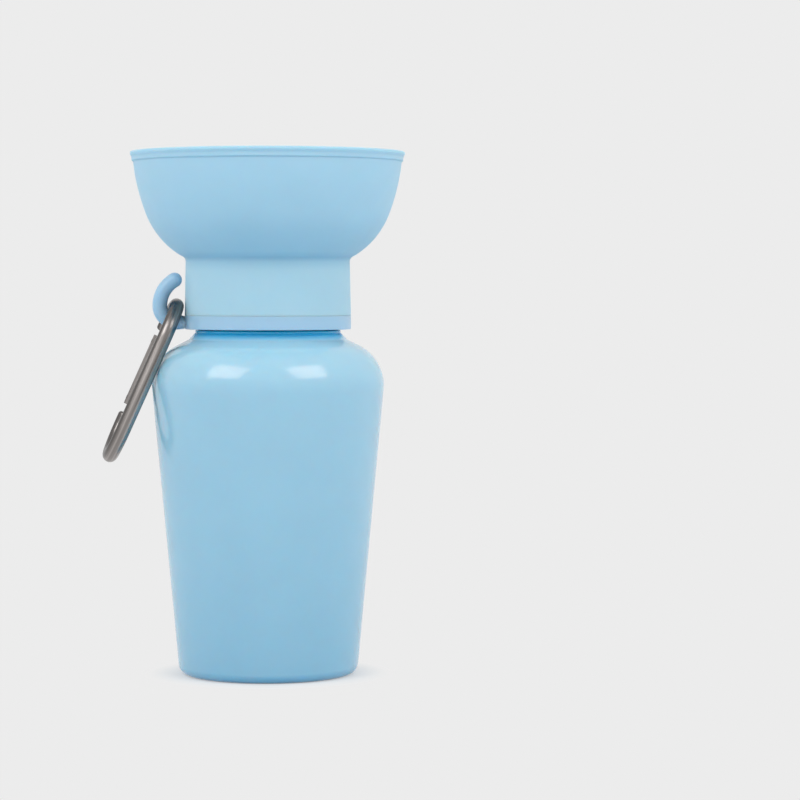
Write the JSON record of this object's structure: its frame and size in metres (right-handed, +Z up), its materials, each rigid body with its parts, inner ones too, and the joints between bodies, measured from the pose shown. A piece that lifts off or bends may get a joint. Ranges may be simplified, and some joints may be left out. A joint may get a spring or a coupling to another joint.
{
  "type": "dog travel water bottle",
  "caption": "Squeeze water bottle for dogs with a folding silicone bowl, a screw lid, a loop-handled stopper and a carabiner on a hook.",
  "frame": {"origin": "centre of the base, on the surface that the bottle stands on", "axes": "+Z up along the bottle's axis, -X towards the hook and carabiner, -Y the front as pictured"},
  "size_m": [0.1148, 0.1038, 0.1981],
  "materials": {
    "bottle": "soft translucent-looking gloss plastic, light blue",
    "lid": "satin moulded plastic, light blue",
    "silicone": "matte silicone, light blue",
    "seal": "matte translucent silicone",
    "tube": "natural polyethylene",
    "carabiner": "satin gunmetal grey",
    "pin": "plain steel",
    "spring": "drawn spring steel"
  },
  "bodies": {
    "bottle": {"bottle_body": "bottle"},
    "lid_seal": {"neck_gasket": "seal"},
    "lid": {"lid_shell": "lid", "dip_tube": "tube", "bowl_sleeve": "silicone", "bowl_wall": "silicone"},
    "bowl_rim": {"bowl_rim": "silicone"},
    "stopper_seal": {"stopper_seal": "seal"},
    "stopper": {"stopper": "lid", "stopper_o_ring": "seal"},
    "carabiner": {"carabiner_body": "carabiner"},
    "gate": {"carabiner_gate": "carabiner", "gate_pivot_pin": "pin", "gate_latch_pin": "pin", "gate_plunger": "pin", "gate_spring": "spring"}
  },
  "joints": [
    {"name": "lid_lift", "type": "slide", "parent": "bottle", "child": "lid_seal", "axis": [0, 0, 1], "range_m": [0, 0.144]},
    {"name": "lid_turn", "type": "hinge", "parent": "lid_seal", "child": "lid", "pos_m": [0, 0, 0.14], "axis": [0, 0, 1], "range_deg": [0, 4320]},
    {"name": "stopper_lift", "type": "slide", "parent": "lid", "child": "stopper_seal", "axis": [0, 0, 1], "range_m": [0, 0.012]},
    {"name": "stopper_turn", "type": "hinge", "parent": "stopper_seal", "child": "stopper", "pos_m": [0, 0, 0.15], "axis": [0, 0, 1], "range_deg": [0, 720]},
    {"name": "bowl_flip", "type": "slide", "parent": "lid", "child": "bowl_rim", "axis": [0, 0, 1], "range_m": [-0.0743, 0], "deforming": ["bowl_wall"]},
    {"name": "carabiner_swing", "type": "hinge", "parent": "lid", "child": "carabiner", "pos_m": [-0.0346, 0, 0.13993], "axis": [0, 1, 0], "range_deg": [0, 90]},
    {"name": "gate_swing", "type": "hinge", "parent": "carabiner", "child": "gate", "pos_m": [-0.04232, 0.0127, 0.12547], "axis": [-0.9086, -0.0872, 0.4084], "range_deg": [0, 35], "stiffness_Nm_per_rad": 0.05, "springref_deg": -17.19}
  ],
  "couplings": [
    {"joint": "lid_lift", "follows": "lid_turn", "m_per_rad": 0.0019099},
    {"joint": "stopper_lift", "follows": "stopper_turn", "m_per_rad": 0.00095493}
  ]
}
